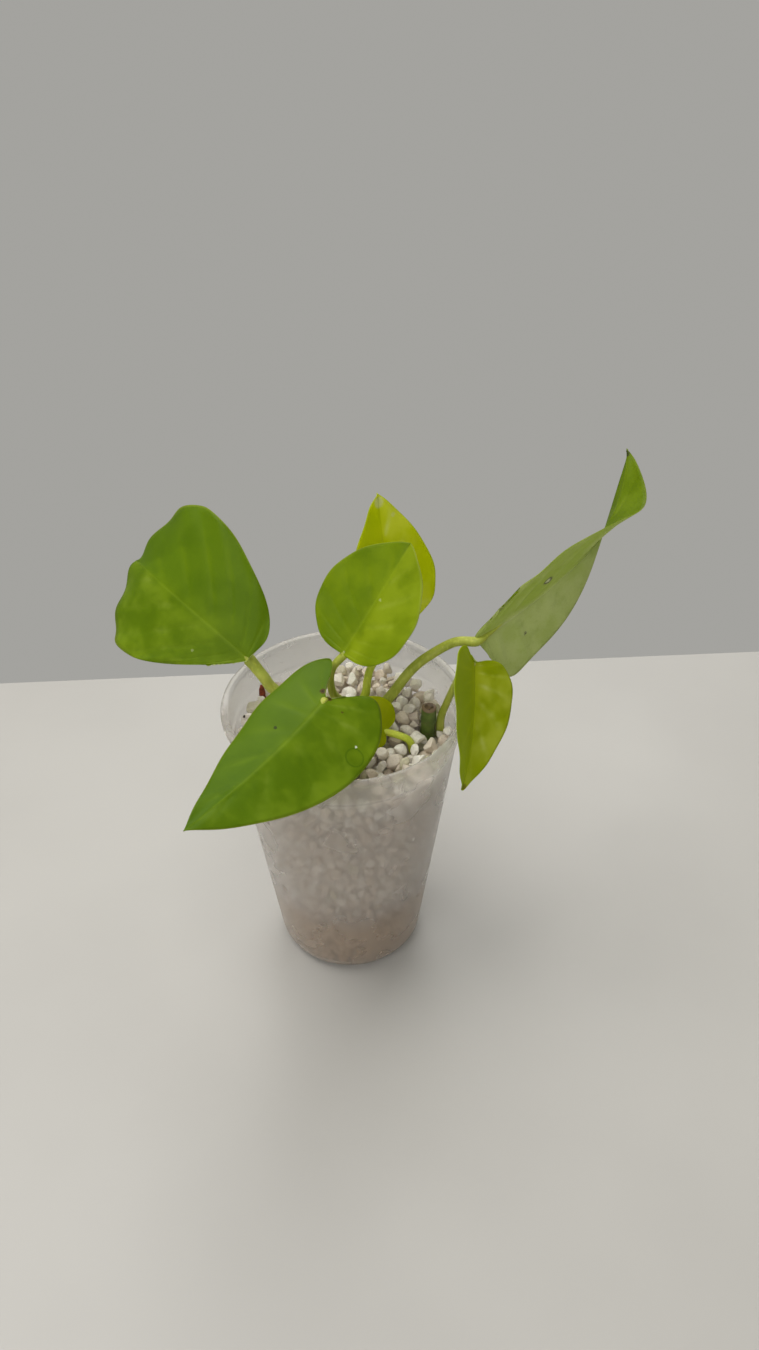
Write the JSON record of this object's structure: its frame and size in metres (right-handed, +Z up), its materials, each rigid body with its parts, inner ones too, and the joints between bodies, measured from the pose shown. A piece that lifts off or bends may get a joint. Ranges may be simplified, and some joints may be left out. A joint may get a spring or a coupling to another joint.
{
  "type": "potted pothos plant",
  "caption": "Young lime-green pothos cutting with heart-shaped leaves on bent petioles, growing in pale pumice gravel in a frosted translucent plastic cup",
  "frame": {"origin": "centre of the cup's flat underside, on the plane the cup stands on", "axes": "+Z up along the cup's axis; +X to the right and +Y away from a person facing the plant, with the largest leaf on +X"},
  "size_m": [0.1651, 0.1159, 0.1573],
  "materials": {
    "cup_plastic": "frosted translucent, slightly milky",
    "pumice": "rough, porous",
    "leaf": "smooth, satin, living leaf",
    "young_leaf": "smooth, satin, young living leaf",
    "petiole": "smooth, satin, living leaf stalk",
    "stem": "semi-matte green vine",
    "bark": "rough"
  },
  "bodies": {
    "root": {"cup": "cup_plastic", "pumice_fill": "pumice", "vine_stem": "stem", "stem_stub": "stem", "leaf_back": "young_leaf", "leaf_centre": "leaf", "leaf_front": "leaf", "leaf_left": "leaf", "leaf_low": "leaf", "leaf_small": "leaf", "leaf_tall": "leaf", "petiole_back": "petiole", "petiole_centre": "petiole", "petiole_front": "petiole", "petiole_left": "petiole", "petiole_low": "petiole", "petiole_small": "petiole", "petiole_tall": "petiole", "bark_chip": "bark", "grain_01": "pumice", "grain_02": "pumice", "grain_03": "pumice", "grain_04": "pumice", "grain_05": "pumice", "grain_06": "pumice", "grain_07": "pumice", "grain_08": "pumice", "grain_09": "pumice", "grain_10": "pumice", "grain_11": "pumice", "grain_12": "pumice", "grain_13": "pumice", "grain_14": "pumice", "grain_15": "pumice", "grain_16": "pumice"}
  },
  "joints": []
}
